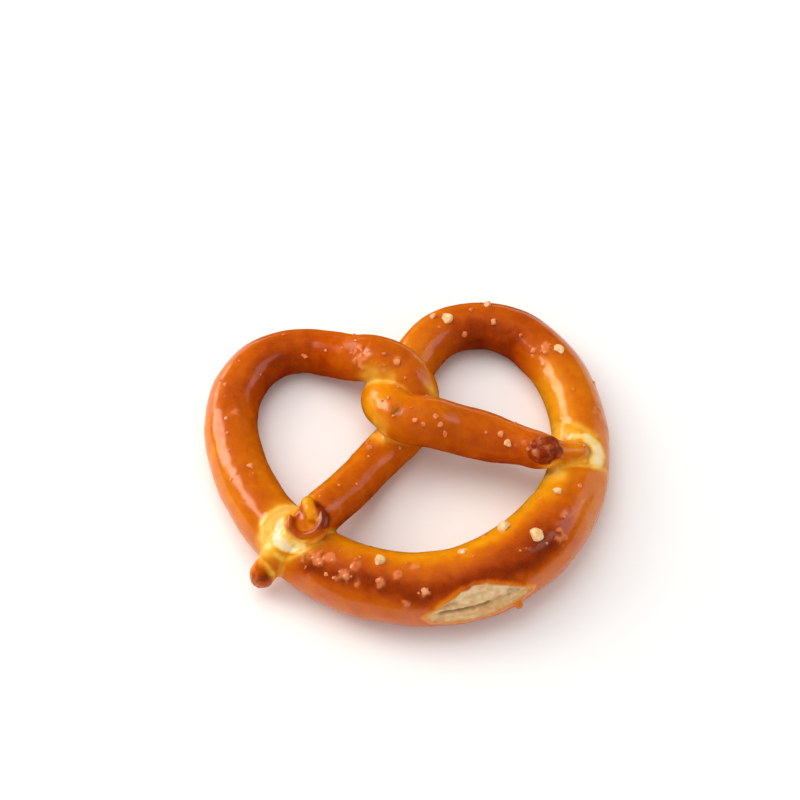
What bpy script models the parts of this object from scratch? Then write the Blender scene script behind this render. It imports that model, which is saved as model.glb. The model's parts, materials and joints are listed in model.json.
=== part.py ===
"""A soft lye pretzel, rolled from one rope of dough, twisted and baked, with coarse salt on top.

The rope is one curve with a radius at each station. It starts at the left tip, runs through
the left arm and the twist, round the left lobe, the thick belly and the right lobe, and back
through the twist to the right tip. The pretzel lies flat: belly at -Y, lobes at +Y, base at z = 0.
"""

import math
import random

import bmesh
import bpy
from mathutils import Matrix, Vector
from mathutils.bvhtree import BVHTree

MM = 0.001

# The rope
SINK = 1.2  # how far the soft dough settles onto the tray, so that the base is flat
ROPE_STEPS = 6  # rings of the mesh between two stations
ROPE_SIDES_SETTING = 14  # the curve's bevel resolution: 32 sides
MELT_VOXEL = 1.2  # grid on which the strands melt into one skin
MELT_SMOOTHING = 5  # rounds of smoothing, which soften the creases between strands
SKIN_TRIANGLES = 7600

# Left arm, from its tip outside the ring to the twist: x, y, z, radius
LEFT_ARM = (
    (-58.6, -44.6, 6.2, 2.0),
    (-57.0, -43.2, 7.6, 4.4),
    (-54.0, -41.0, 11.6, 4.9),
    (-50.2, -37.7, 17.2, 4.9),
    (-46.0, -34.0, 19.0, 5.2),
    (-41.6, -30.8, 18.4, 6.4),
    (-37.6, -28.0, 18.2, 7.4),
    (-32.6, -23.2, 18.2, 8.0),
    (-26.4, -16.0, 14.4, 8.0),
    (-20.0, -8.6, 11.0, 8.0),
    (-13.4, -0.6, 8.4, 8.1),
    (-6.8, 6.6, 7.4, 8.4),
)

# The rolled lip at the left arm's end, an open ring round a hollow
LIP_PLACE = (-38.2, -28.6, 26.6)
LIP_RADIUS = 5.6
LIP_FROM = 150.0
LIP_TO = 400.0
LIP_LEAN = 0.18  # rise to the right
LIP_THICKNESS = 2.4
LIP_END_SHARE = 0.55  # of that thickness, where the lip runs out
LIP_STATIONS = 9

# The twist is half a turn of two strands about one level axis that runs from the arms to the lobes
TWIST_FROM_Y = 11.0
TWIST_TO_Y = 33.5
TWIST_X = -0.9
TWIST_HEIGHT = 15.0
TWIST_SPREAD = 6.3
TWIST_STATIONS = 5
LEFT_TWIST_RADIUS = 8.1
RIGHT_TWIST_RADIUS = 8.7

# The loop, from the left shoulder round the belly to the right shoulder: x, y, radius, lift
LOOP = (
    (-8.6, 37.4, 8.7, 13.2),
    (-18.4, 43.2, 8.8, 6.2),
    (-26.8, 48.6, 8.6, 1.8),
    (-37.2, 51.6, 8.5, 0.0),
    (-49.3, 48.6, 8.9, 0.0),
    (-59.4, 39.0, 9.5, 0.0),
    (-64.4, 25.0, 9.9, 0.0),
    (-64.0, 9.0, 10.3, 0.0),
    (-58.8, -8.4, 10.6, 0.0),
    (-48.0, -27.0, 11.4, 0.0),
    (-32.0, -42.2, 12.4, 0.0),
    (-13.4, -51.0, 12.9, 0.0),
    (3.8, -53.6, 13.2, 0.0),
    (20.2, -51.8, 13.8, 0.0),
    (34.8, -45.2, 13.8, 0.0),
    (48.0, -34.4, 13.4, 0.0),
    (58.0, -20.0, 12.0, 0.0),
    (63.2, -4.8, 11.0, 0.0),
    (64.6, 12.0, 10.6, 0.0),
    (61.4, 29.0, 10.2, 0.0),
    (53.2, 44.4, 9.8, 0.0),
    (42.4, 54.0, 9.4, 0.0),
    (30.4, 57.2, 9.1, 0.0),
    (18.4, 55.2, 9.2, 0.0),
    (9.8, 48.4, 9.2, 0.0),
    (4.2, 40.6, 9.0, 0.0),
)

# Right arm, from the twist to its tip on top of the ring, sagging between: x, y, z, radius
RIGHT_ARM = (
    (8.4, 8.2, 22.4, 9.3),
    (17.6, 6.6, 19.4, 9.1),
    (26.4, 4.3, 17.6, 9.1),
    (34.0, 0.9, 17.8, 8.4),
    (41.0, -2.8, 19.5, 7.3),
    (47.2, -6.5, 21.7, 6.9),
    (51.8, -8.0, 22.4, 5.8),
    (55.2, -7.9, 21.8, 4.5),
    (59.2, -7.7, 21.0, 4.1),
    (62.8, -7.6, 20.2, 3.5),
    (64.4, -7.6, 19.6, 1.8),
)

# The dark knob on the right arm's end
KNOB_PLACE = (49.0, -8.3, 25.0)
KNOB_RADIUS = 5.6

# The split in the belly, where the crust tore open: a shallow recess in the outer flank
SPLIT_PLACE = (15.5, -52.0)
SPLIT_TURN = 9.0  # degrees, along the belly there
SPLIT_RISE = 33.0  # degrees above level, as seen from the rope's middle
SPLIT_LENGTH = 42.0
SPLIT_HEIGHT = 13.0
SPLIT_REACH = 12.0  # thickness of the egg that cuts it
SPLIT_DEPTH = 0.9
SPLIT_BELLY_RADIUS = 13.7

# Coarse salt
GRAIN_SEED = 7
GRAIN_COUNT = 40
GRAIN_SMALL = 1.2
GRAIN_LARGE = 2.2
GRAIN_SPREAD = 0.62  # share of the rope's half-width that the salt falls on
GRAIN_RISE = 0.1  # a grain's middle above the crust, as a share of its size
GRAIN_LENGTHS = (0.9, 1.2)
GRAIN_WIDTHS = (0.75, 1.0)
GRAIN_HEIGHTS = (0.7, 0.9)
GRAIN_GAP = 1.5  # least distance between two grains, beside their own sizes
# The largest grains, where they lie in plan: x, y, size
LARGE_GRAINS = (
    (42.0, -41.9, 5.4),
    (-14.5, -46.9, 4.6),
    (31.4, -36.8, 4.6),
    (19.3, 55.9, 4.3),
    (59.6, 37.5, 4.2),
    (51.4, -24.7, 3.6),
    (15.5, -46.0, 3.2),
    (35.8, -4.6, 3.0),
    (33.9, -0.8, 2.6),
    (14.4, 57.6, 2.9),
    (35.3, 61.5, 2.8),
    (37.1, 52.9, 2.8),
    (1.0, -59.8, 2.8),
    (-57.9, -3.3, 2.6),
    (-14.2, 2.7, 2.6),
    (-1.7, 30.7, 2.6),
    (9.9, 3.9, 2.6),
    (13.2, 1.4, 2.6),
    (2.4, 5.4, 2.4),
    (25.4, 50.2, 2.4),
    (-35.7, 45.4, 2.4),
    (-26.0, -51.4, 2.4),
)

CUTTER_SIZE = 300.0
CUTTER_DEPTH = 20.0
SHARP_ANGLE = 40.0


def clear_scene():
    for thing in list(bpy.data.objects):
        bpy.data.objects.remove(thing)


def new_collection(name):
    collection = bpy.data.collections.new(name)
    bpy.context.scene.collection.children.link(collection)
    return collection


def crust_material():
    """Browned lye crust, satin to glossy."""
    material = bpy.data.materials.new("lye_crust")
    material.use_nodes = True
    shader = material.node_tree.nodes["Principled BSDF"]
    shader.inputs["Base Color"].default_value = (0.42, 0.12, 0.015, 1.0)
    shader.inputs["Roughness"].default_value = 0.3
    shader.inputs["Metallic"].default_value = 0.0
    return material


def twist_stations(phase, radius):
    """A strand's stations through the twist, from the arms to the lobes.
    The left strand lies under the right one at the arms, and over it at the lobes."""
    stations = []
    for step in range(TWIST_STATIONS):
        share = step / (TWIST_STATIONS - 1)
        turn = math.radians(phase - 90 + 180 * share)
        stations.append(
            (
                TWIST_X + TWIST_SPREAD * math.cos(turn),
                TWIST_FROM_Y + (TWIST_TO_Y - TWIST_FROM_Y) * share,
                TWIST_HEIGHT + TWIST_SPREAD * math.sin(turn),
                radius,
            )
        )
    return stations


def lip_stations():
    """Stations along the rolled lip, which thins out towards both its ends."""
    stations = []
    for step in range(LIP_STATIONS):
        share = step / (LIP_STATIONS - 1)
        turn = math.radians(LIP_FROM + (LIP_TO - LIP_FROM) * share)
        across = LIP_RADIUS * math.cos(turn)
        stations.append(
            (
                LIP_PLACE[0] + across,
                LIP_PLACE[1] + LIP_RADIUS * math.sin(turn),
                LIP_PLACE[2] + across * LIP_LEAN,
                LIP_THICKNESS * (LIP_END_SHARE + (1 - LIP_END_SHARE) * math.sin(math.pi * share)),
            )
        )
    return stations


def resting(x, y, radius, lift):
    """A station of a stretch that lies on the tray, or lift above it."""
    return (x, y, radius - SINK + lift, radius)


def rope_stations():
    """All stations of the rope, from the left tip to the right tip."""
    left_twist = twist_stations(0, LEFT_TWIST_RADIUS)
    right_twist = twist_stations(180, RIGHT_TWIST_RADIUS)
    loop = [resting(*station) for station in LOOP]
    return [*LEFT_ARM, *left_twist, *loop, *reversed(right_twist), *RIGHT_ARM]


def rope_curve(stations):
    """The rope as a round bevelled curve through its stations."""
    data = bpy.data.curves.new("rope_route", "CURVE")
    data.dimensions = "3D"
    data.twist_mode = "Z_UP"
    data.resolution_u = ROPE_STEPS
    data.bevel_depth = MM
    data.bevel_resolution = ROPE_SIDES_SETTING
    data.use_fill_caps = True
    spline = data.splines.new("BEZIER")
    spline.radius_interpolation = "CARDINAL"
    spline.bezier_points.add(len(stations) - 1)
    for point, (x, y, z, radius) in zip(spline.bezier_points, stations):
        point.co = (x * MM, y * MM, z * MM)
        point.radius = radius
        point.handle_left_type = "AUTO"
        point.handle_right_type = "AUTO"
    curve = bpy.data.objects.new("rope_route", data)
    bpy.context.scene.collection.objects.link(curve)
    return curve


def mesh_from_curve(curve, name, collection):
    """A closed mesh object made from the curve, which is then removed."""
    bpy.context.view_layer.update()
    graph = bpy.context.evaluated_depsgraph_get()
    mesh = bpy.data.meshes.new_from_object(curve.evaluated_get(graph))
    mesh.name = name
    welded = bmesh.new()
    welded.from_mesh(mesh)
    bmesh.ops.remove_doubles(welded, verts=welded.verts, dist=0.01 * MM)
    welded.to_mesh(mesh)
    welded.free()
    thing = bpy.data.objects.new(name, mesh)
    thing.matrix_world = curve.matrix_world
    collection.objects.link(thing)
    bpy.data.objects.remove(curve)
    return thing


def mesh_object(shape, name, collection):
    """A mesh object made from a bmesh, which is freed."""
    mesh = bpy.data.meshes.new(name)
    shape.to_mesh(mesh)
    shape.free()
    thing = bpy.data.objects.new(name, mesh)
    collection.objects.link(thing)
    return thing


def apply_modifiers(thing):
    """Replaces the object's mesh with its evaluated one."""
    bpy.context.view_layer.update()
    graph = bpy.context.evaluated_depsgraph_get()
    mesh = bpy.data.meshes.new_from_object(thing.evaluated_get(graph))
    thing.modifiers.clear()
    thing.data = mesh


def knob(collection):
    """The round end of the right arm."""
    shape = bmesh.new()
    bmesh.ops.create_icosphere(shape, subdivisions=3, radius=KNOB_RADIUS * MM)
    place = Matrix.Translation(Vector(KNOB_PLACE) * MM)
    bmesh.ops.transform(shape, matrix=place, verts=shape.verts)
    return mesh_object(shape, "knob", collection)


def gather(thing, others):
    """Moves the others' meshes into the thing's own."""
    shape = bmesh.new()
    shape.from_mesh(thing.data)
    for other in others:
        shape.from_mesh(other.data)
        bpy.data.objects.remove(other)
    shape.to_mesh(thing.data)
    shape.free()


def melt_strands(thing):
    """Makes one skin of strands that lie in each other, as proofing does with dough."""
    remesh = thing.modifiers.new("melt", "REMESH")
    remesh.mode = "VOXEL"
    remesh.voxel_size = MELT_VOXEL * MM
    smooth = thing.modifiers.new("soften", "SMOOTH")
    smooth.iterations = MELT_SMOOTHING
    apply_modifiers(thing)
    thing.data.calc_loop_triangles()
    thin = thing.modifiers.new("thin", "DECIMATE")
    thin.ratio = SKIN_TRIANGLES / len(thing.data.loop_triangles)
    apply_modifiers(thing)


def cut(thing, cutter):
    """Cuts the cutter's shape from the thing."""
    cutter.hide_render = True
    cutter.display_type = "WIRE"
    boolean = thing.modifiers.new("cut", "BOOLEAN")
    boolean.operation = "DIFFERENCE"
    boolean.object = cutter
    apply_modifiers(thing)


def tray_cutter(collection):
    """A block below z = 0, which leaves the flat base that the tray gave."""
    shape = bmesh.new()
    bmesh.ops.create_cube(shape, size=1.0)
    size = Matrix.Diagonal((CUTTER_SIZE, CUTTER_SIZE, CUTTER_DEPTH, 1.0))
    bmesh.ops.transform(shape, matrix=size, verts=shape.verts)
    bmesh.ops.transform(
        shape, matrix=Matrix.Translation((0, 0, -CUTTER_DEPTH / 2)), verts=shape.verts
    )
    bmesh.ops.transform(shape, matrix=Matrix.Scale(MM, 4), verts=shape.verts)
    return mesh_object(shape, "tray_cutter", collection)


def split_cutter(collection):
    """An egg laid across the belly's flank, hollowed by the dough under the crust. It leaves a
    recess of even depth."""
    shape = bmesh.new()
    bmesh.ops.create_uvsphere(shape, u_segments=28, v_segments=14, radius=1.0)
    half = (SPLIT_LENGTH / 2, SPLIT_HEIGHT / 2, SPLIT_REACH / 2)
    bmesh.ops.transform(shape, matrix=Matrix.Diagonal((*half, 1.0)), verts=shape.verts)
    turn = Matrix.Rotation(math.radians(SPLIT_TURN), 4, "Z")
    tilt = Matrix.Rotation(math.radians(90 - SPLIT_RISE), 4, "X")
    place = Matrix.Translation((*SPLIT_PLACE, SPLIT_BELLY_RADIUS - SINK))
    out = Matrix.Translation((0, 0, SPLIT_BELLY_RADIUS))
    bmesh.ops.transform(shape, matrix=place @ turn @ tilt @ out, verts=shape.verts)
    bmesh.ops.transform(shape, matrix=Matrix.Scale(MM, 4), verts=shape.verts)
    egg = mesh_object(shape, "split_cutter", collection)
    belly = [resting(*station) for station in LOOP]
    inner = [(x, y, z, radius - SPLIT_DEPTH) for x, y, z, radius in belly]
    cut(egg, mesh_from_curve(rope_curve(inner), "under_crust", collection))
    return egg


def grain(size, draw, name, collection):
    """One crystal of coarse salt: an uneven lump of twenty faces."""
    shape = bmesh.new()
    bmesh.ops.create_icosphere(shape, subdivisions=1, radius=size / 2 * MM)
    ranges = (GRAIN_LENGTHS, GRAIN_WIDTHS, GRAIN_HEIGHTS)
    stretch = Matrix.Diagonal((*(draw.uniform(*limits) for limits in ranges), 1.0))
    turn = Matrix.Rotation(draw.uniform(0, math.tau), 4, "Z")
    bmesh.ops.transform(shape, matrix=turn @ stretch, verts=shape.verts)
    return mesh_object(shape, name, collection)


def salt_places(draw):
    """Where each grain lies in plan, and its size: the largest ones, then smaller ones
    spread evenly along the rope and across its top."""
    stations = rope_stations()
    places = list(LARGE_GRAINS)

    def is_free(x, y, size):
        return all(
            math.hypot(x - other_x, y - other_y) > (size + other_size) / 2 + GRAIN_GAP
            for other_x, other_y, other_size in places
        )

    for number in range(GRAIN_COUNT):
        along = (number + draw.uniform(0.2, 0.8)) / GRAIN_COUNT * (len(stations) - 1)
        first = min(int(along), len(stations) - 2)
        share = along - first
        start = Vector(stations[first])
        end = Vector(stations[first + 1])
        here = start.lerp(end, share)
        across = Vector((start.y - end.y, end.x - start.x)).normalized()
        aside = across * here.w * draw.uniform(-GRAIN_SPREAD, GRAIN_SPREAD)
        size = draw.uniform(GRAIN_SMALL, GRAIN_LARGE)
        place = (here.x + aside.x, here.y + aside.y, size)
        if is_free(*place):
            places.append(place)
    return places


def salt(body, collection):
    """Grains set on top of the rope, each sunk a little into the crust."""
    draw = random.Random(GRAIN_SEED)
    tree = BVHTree.FromObject(body, bpy.context.evaluated_depsgraph_get())
    for number, (x, y, size) in enumerate(salt_places(draw)):
        place, normal, _, _ = tree.ray_cast(
            Vector((x * MM, y * MM, CUTTER_SIZE * MM)), Vector((0, 0, -1))
        )
        if place is None:
            continue
        made = grain(size, draw, f"grain_{number:02d}", collection)
        made.rotation_mode = "QUATERNION"
        made.rotation_quaternion = normal.to_track_quat("Z", "Y")
        made.location = place + normal * size * GRAIN_RISE * MM


def fuse(thing, collection):
    """Joins everything in the collection to the thing, and removes the collection's objects."""
    boolean = thing.modifiers.new("fuse", "BOOLEAN")
    boolean.operation = "UNION"
    boolean.operand_type = "COLLECTION"
    boolean.collection = collection
    apply_modifiers(thing)
    for part in list(collection.objects):
        bpy.data.objects.remove(part)


def build():
    clear_scene()
    dough = new_collection("pretzel")
    cutters = new_collection("cutters")
    grains = new_collection("salt")
    pretzel = mesh_from_curve(rope_curve(rope_stations()), "pretzel", dough)
    lip = mesh_from_curve(rope_curve(lip_stations()), "lip", dough)
    gather(pretzel, (lip, knob(dough)))
    melt_strands(pretzel)
    cut(pretzel, tray_cutter(cutters))
    cut(pretzel, split_cutter(cutters))
    salt(pretzel, grains)
    fuse(pretzel, grains)
    pretzel.data.materials.clear()
    pretzel.data.materials.append(crust_material())
    pretzel.data.shade_smooth()
    pretzel.data.set_sharp_from_angle(angle=math.radians(SHARP_ANGLE))


build()
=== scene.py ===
# %% [markdown]
# # A soft lye pretzel
#
# A baker rolls one rope of wheat dough, thick in the middle and thin at both ends, knots it, dips
# it in lye and bakes it. Lye and heat turn the skin to a glossy chestnut crust, while every fold
# that the lye or the hot air couldn't reach stays golden or cream. This lesson builds such a
# pretzel in the same order: roll the rope, let it melt together, shape its skin, brown it, and
# throw coarse salt on it. Lengths are in millimetres until they become a mesh, in metres.

# %% Load the frame
import json
import math
import random
from functools import partial

import bmesh
import bpy
import numpy as np
from mathutils import Matrix, Vector, noise
from mathutils.bvhtree import BVHTree

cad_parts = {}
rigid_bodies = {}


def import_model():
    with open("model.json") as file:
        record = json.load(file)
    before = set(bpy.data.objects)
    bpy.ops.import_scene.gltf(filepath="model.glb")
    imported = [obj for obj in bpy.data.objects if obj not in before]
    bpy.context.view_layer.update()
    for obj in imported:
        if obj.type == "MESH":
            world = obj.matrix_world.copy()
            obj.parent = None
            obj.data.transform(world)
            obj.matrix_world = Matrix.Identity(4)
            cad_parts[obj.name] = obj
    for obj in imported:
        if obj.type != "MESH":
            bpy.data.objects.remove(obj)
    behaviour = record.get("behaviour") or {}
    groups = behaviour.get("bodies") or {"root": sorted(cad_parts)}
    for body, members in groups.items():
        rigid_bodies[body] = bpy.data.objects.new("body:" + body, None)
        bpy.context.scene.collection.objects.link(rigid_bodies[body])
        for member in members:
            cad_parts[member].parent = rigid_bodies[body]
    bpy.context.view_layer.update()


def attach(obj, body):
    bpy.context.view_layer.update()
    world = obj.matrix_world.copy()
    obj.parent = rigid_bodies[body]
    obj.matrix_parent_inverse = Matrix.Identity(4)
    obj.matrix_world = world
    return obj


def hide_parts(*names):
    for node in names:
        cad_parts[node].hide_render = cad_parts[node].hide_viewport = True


MM = 0.001

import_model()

# %% [markdown]
# ## A few small tools
#
# Colours are written as sRGB hex, the way a paint chart gives them, and Blender wants them linear,
# so one function turns them. Geometry Nodes and materials are both trees of nodes, so one function
# adds a node to either. Where a tree is built, it is called node, with the tree filled in. A curve
# or a live modifier becomes a plain mesh through one function too.

# %% Helpers
def linear(hex_colour):
    """The linear RGBA of an sRGB hex colour."""
    shares = [int(hex_colour[i : i + 2], 16) / 255 for i in (1, 3, 5)]
    return (*(s / 12.92 if s <= 0.04045 else ((s + 0.055) / 1.055) ** 2.4 for s in shares), 1.0)


def set_inputs(tree, node, inputs):
    """Gives each input a value, an output, or another node, whose first output is meant."""
    for socket, value in inputs.items():
        if isinstance(value, bpy.types.Node):
            value = value.outputs[0]
        if isinstance(value, bpy.types.NodeSocket):
            tree.links.new(value, node.inputs[socket])
        else:
            node.inputs[socket].default_value = value


def add_node(tree, kind, inputs=None, stops=None, **settings):
    """Adds a node with its settings; stops are the places and hex colours of a colour ramp."""
    node = tree.nodes.new(kind)
    for name, value in settings.items():
        setattr(node, name, value)
    set_inputs(tree, node, inputs or {})
    if stops:
        points = node.color_ramp.elements
        points.remove(points[1])
        points[0].position = stops[0][0]
        points[0].color = linear(stops[0][1])
        for place, colour in stops[1:]:
            points.new(place).color = linear(colour)
    return node


def new_object(name, data):
    """An object at the origin, in the scene."""
    thing = bpy.data.objects.new(name, data)
    bpy.context.scene.collection.objects.link(thing)
    return thing


def apply_modifiers(thing):
    """Turns the object and its modifiers into one plain mesh object of the same name."""
    graph = bpy.context.evaluated_depsgraph_get()
    mesh = bpy.data.meshes.new_from_object(thing.evaluated_get(graph))
    name = thing.name
    bpy.data.objects.remove(thing)
    mesh.name = name
    return new_object(name, mesh)


# %% [markdown]
# ## The route of the rope
#
# The real rope is one piece of dough, so it is one curve here, with a thickness at each station.
# It starts at the left tip, climbs over the belly, passes under the right arm in the twist, runs
# round the left lobe, the thick belly and the right lobe, and comes back through the twist to the
# right tip. Stations set wherever the direction or thickness changes are how a baker would sketch
# it, and a smooth curve gives the rest. The twist alone follows a rule: two strands half a turn
# about one axis.

# %% Stations of the rope
SINK = 1.2  # how far the soft dough settles onto the tray

# Left arm, from its tip outside the ring to the twist: x, y, z, radius
LEFT_ARM = (
    (-58.6, -44.6, 6.2, 2.0),
    (-57.0, -43.2, 7.6, 4.4),
    (-54.0, -41.0, 11.6, 4.9),
    (-50.2, -37.7, 17.2, 4.9),
    (-46.0, -34.0, 19.0, 5.2),
    (-41.6, -30.8, 18.4, 6.4),
    (-37.6, -28.0, 18.2, 7.4),
    (-32.6, -23.2, 18.2, 8.0),
    (-26.4, -16.0, 14.4, 8.0),
    (-20.0, -8.6, 11.0, 8.0),
    (-13.4, -0.6, 8.4, 8.1),
    (-6.8, 6.6, 7.4, 8.4),
)

# The loop, from the left shoulder round the belly to the right shoulder: x, y, radius, lift
LOOP = (
    (-8.6, 37.4, 8.7, 13.2),
    (-18.4, 43.2, 8.8, 6.2),
    (-26.8, 48.6, 8.6, 1.8),
    (-37.2, 51.6, 8.5, 0.0),
    (-49.3, 48.6, 8.9, 0.0),
    (-59.4, 39.0, 9.5, 0.0),
    (-64.4, 25.0, 9.9, 0.0),
    (-64.0, 9.0, 10.3, 0.0),
    (-58.8, -8.4, 10.6, 0.0),
    (-48.0, -27.0, 11.4, 0.0),
    (-32.0, -42.2, 12.4, 0.0),
    (-13.4, -51.0, 12.9, 0.0),
    (3.8, -53.6, 13.2, 0.0),
    (20.2, -51.8, 13.8, 0.0),
    (34.8, -45.2, 13.8, 0.0),
    (48.0, -34.4, 13.4, 0.0),
    (58.0, -20.0, 12.0, 0.0),
    (63.2, -4.8, 11.0, 0.0),
    (64.6, 12.0, 10.6, 0.0),
    (61.4, 29.0, 10.2, 0.0),
    (53.2, 44.4, 9.8, 0.0),
    (42.4, 54.0, 9.4, 0.0),
    (30.4, 57.2, 9.1, 0.0),
    (18.4, 55.2, 9.2, 0.0),
    (9.8, 48.4, 9.2, 0.0),
    (4.2, 40.6, 9.0, 0.0),
)

# Right arm, from the twist to its tip on top of the ring, sagging between: x, y, z, radius
RIGHT_ARM = (
    (8.4, 8.2, 22.4, 9.3),
    (17.6, 6.6, 19.4, 9.1),
    (26.4, 4.3, 17.6, 9.1),
    (34.0, 0.9, 17.8, 8.4),
    (41.0, -2.8, 19.5, 7.3),
    (47.2, -6.5, 21.7, 6.9),
    (51.8, -8.0, 22.4, 5.8),
    (55.2, -7.9, 21.8, 4.5),
    (59.2, -7.7, 21.0, 4.1),
    (62.8, -7.6, 20.2, 3.5),
    (64.4, -7.6, 19.6, 1.8),
)

TWIST_FROM_Y = 11.0
TWIST_TO_Y = 33.5
TWIST_X = -0.9
TWIST_HEIGHT = 15.0
TWIST_SPREAD = 6.3
TWIST_STATIONS = 5
LEFT_TWIST_RADIUS = 8.1
RIGHT_TWIST_RADIUS = 8.7


def twist_stations(phase, radius):
    """A strand's stations through the twist, from the arms to the lobes."""
    stations = []
    for step in range(TWIST_STATIONS):
        share = step / (TWIST_STATIONS - 1)
        turn = math.radians(phase - 90 + 180 * share)
        x = TWIST_X + TWIST_SPREAD * math.cos(turn)
        y = TWIST_FROM_Y + (TWIST_TO_Y - TWIST_FROM_Y) * share
        z = TWIST_HEIGHT + TWIST_SPREAD * math.sin(turn)
        stations.append((x, y, z, radius))
    return stations


def rope_stations():
    """All stations of the rope, from the left tip to the right tip."""
    left_twist = twist_stations(0, LEFT_TWIST_RADIUS)
    right_twist = twist_stations(180, RIGHT_TWIST_RADIUS)
    loop = [(x, y, radius - SINK + lift, radius) for x, y, radius, lift in LOOP]
    return [*LEFT_ARM, *left_twist, *loop, *reversed(right_twist), *RIGHT_ARM]


print("stations of the rope:", len(rope_stations()))

# %% [markdown]
# ## The smooth path
#
# A Bezier spline with automatic handles runs smoothly through the listed stations and hardly
# swings out between them. Its evaluated points are read back once, and everything that later asks
# how far along the rope a spot lies, or how far it is from another strand, uses them. The thickness
# is blended between stations with the same smoothness.

# %% Evaluate the path
ROPE_STEPS = 12  # points between two stations
CARDINAL = 0.71  # how closely a radius follows its neighbours


def smooth_path(stations):
    """Points of a Bezier spline with automatic handles through the stations, in mm."""
    data = bpy.data.curves.new("route", "CURVE")
    data.dimensions = "3D"
    data.resolution_u = ROPE_STEPS
    spline = data.splines.new("BEZIER")
    spline.bezier_points.add(len(stations) - 1)
    for point, (x, y, z, *_) in zip(spline.bezier_points, stations):
        point.co = (x, y, z)
        point.handle_left_type = "AUTO"
        point.handle_right_type = "AUTO"
    line = apply_modifiers(new_object("route", data))
    points = np.array([vertex.co for vertex in line.data.vertices])
    bpy.data.objects.remove(line)
    return points


def smooth_radii(stations):
    """The stations' radii, blended as a cardinal spline does."""
    known = [stations[0][3], *(station[3] for station in stations), stations[-1][3]]
    radii = []
    for before, start, end, after in zip(known, known[1:], known[2:], known[3:]):
        for step in range(ROPE_STEPS):
            t = step / ROPE_STEPS
            blend = (2 * t**3 - 3 * t**2 + 1) * start + (3 * t**2 - 2 * t**3) * end
            leaving = CARDINAL * (end - before) * (t**3 - 2 * t**2 + t)
            arriving = CARDINAL * (after - start) * (t**3 - t**2)
            radii.append(blend + leaving + arriving)
    return np.array([*radii, stations[-1][3]])


path = smooth_path(rope_stations())
path_radii = smooth_radii(rope_stations())
step_lengths = np.linalg.norm(np.diff(path, axis=0), axis=1)
path_along = np.concatenate([[0.0], np.cumsum(step_lengths)])
path_forward = np.gradient(path, axis=0)
path_forward /= np.linalg.norm(path_forward, axis=1)[:, None]
print("rope length, mm:", round(float(path_along[-1])), "points:", len(path))

# %% [markdown]
# ## Rolling the rope with Geometry Nodes
#
# A rope of changing thickness is a circle swept along a line. The Curve to Mesh node does this in
# one step, and its Scale input takes each point's radius. Three ropes go through the same tree: the
# pretzel's own, and two short ones at the left arm's end, where the baker's thumb pushed the dough
# into an open ring with a curl inside, like a snail's shell. Every tree of this lesson begins and
# ends in the same way, so a function does each, and a third runs a tree on an object.

# %% Begin, end and run a tree
def geometry_tree(name, **inputs):
    """A new tree and what it is given: geometry, inputs of these kinds, and a material."""
    tree = bpy.data.node_groups.new(name, "GeometryNodeTree")
    tree.interface.new_socket("Geometry", in_out="OUTPUT", socket_type="NodeSocketGeometry")
    for label, kind in {"Geometry": "Geometry", **inputs, "Material": "Material"}.items():
        tree.interface.new_socket(label, in_out="INPUT", socket_type="NodeSocket" + kind)
    return tree, add_node(tree, "NodeGroupInput").outputs


def end_tree(tree, given, geometry):
    """Ends a tree with real geometry, in the material that the tree was given."""
    real = add_node(tree, "GeometryNodeRealizeInstances", {"Geometry": geometry})
    inputs = {"Geometry": real, "Material": given["Material"]}
    finish = add_node(tree, "GeometryNodeSetMaterial", inputs)
    add_node(tree, "NodeGroupOutput", {"Geometry": finish})
    return tree


def run_tree(thing, tree, inputs):
    """Runs a Geometry Nodes tree on the object and gives the plain mesh object it makes."""
    modifier = thing.modifiers.new(tree.name, "NODES")
    modifier.node_group = tree
    for socket in tree.interface.items_tree:
        if socket.in_out == "INPUT" and socket.name in inputs:
            modifier[socket.identifier] = inputs[socket.name]
    return apply_modifiers(thing)


# %% Roll the ropes
ROPE_SIDES = 56

LIP_PLACE = (-38.5, -30.4, 26.3)
LIP_RADIUS = 6.0
LIP_FROM = 150.0  # degrees round it, between which it runs
LIP_TO = 400.0
LIP_LEAN = 0.18  # rise to the right
LIP_SLOPE = 0.22  # rise to the back
LIP_THICKNESS = 2.8
LIP_END_SHARE = 0.35  # of that thickness, where it runs out
LIP_SWELL = 1.3  # above 1, it is thickest nearer its right end
LIP_STATIONS = 33

# The curl inside the lip: x, y, z, radius
CURL = (
    (-37.6, -20.8, 21.8, 2.0),
    (-37.8, -23.2, 25.4, 2.4),
    (-37.4, -25.8, 27.2, 2.5),
    (-36.8, -28.4, 27.4, 2.3),
    (-36.4, -30.6, 26.6, 1.8),
)


def rolled_rope_tree():
    """Sweeps a circle along a curve, scaled by the radius of the curve's points."""
    tree, given = geometry_tree("rolled_rope", Sides="Int")
    node = partial(add_node, tree)
    circle = node("GeometryNodeCurvePrimitiveCircle", {"Resolution": given["Sides"], "Radius": 1.0})
    radius = node("GeometryNodeInputRadius")
    sweep = node(
        "GeometryNodeCurveToMesh",
        {"Curve": given["Geometry"], "Profile Curve": circle, "Scale": radius, "Fill Caps": True},
    )
    return end_tree(tree, given, sweep)


def lip_line():
    """Points and radii along the rolled lip, which thins out towards both its ends."""
    share = np.linspace(0, 1, LIP_STATIONS)
    turn = np.radians(LIP_FROM + (LIP_TO - LIP_FROM) * share)
    across = LIP_RADIUS * np.cos(turn)
    back = LIP_RADIUS * np.sin(turn)
    ring = np.stack([across, back, across * LIP_LEAN + back * LIP_SLOPE], axis=1)
    swell = np.sin(math.pi * share**LIP_SWELL)
    return ring + LIP_PLACE, LIP_THICKNESS * (LIP_END_SHARE + (1 - LIP_END_SHARE) * swell)


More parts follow.
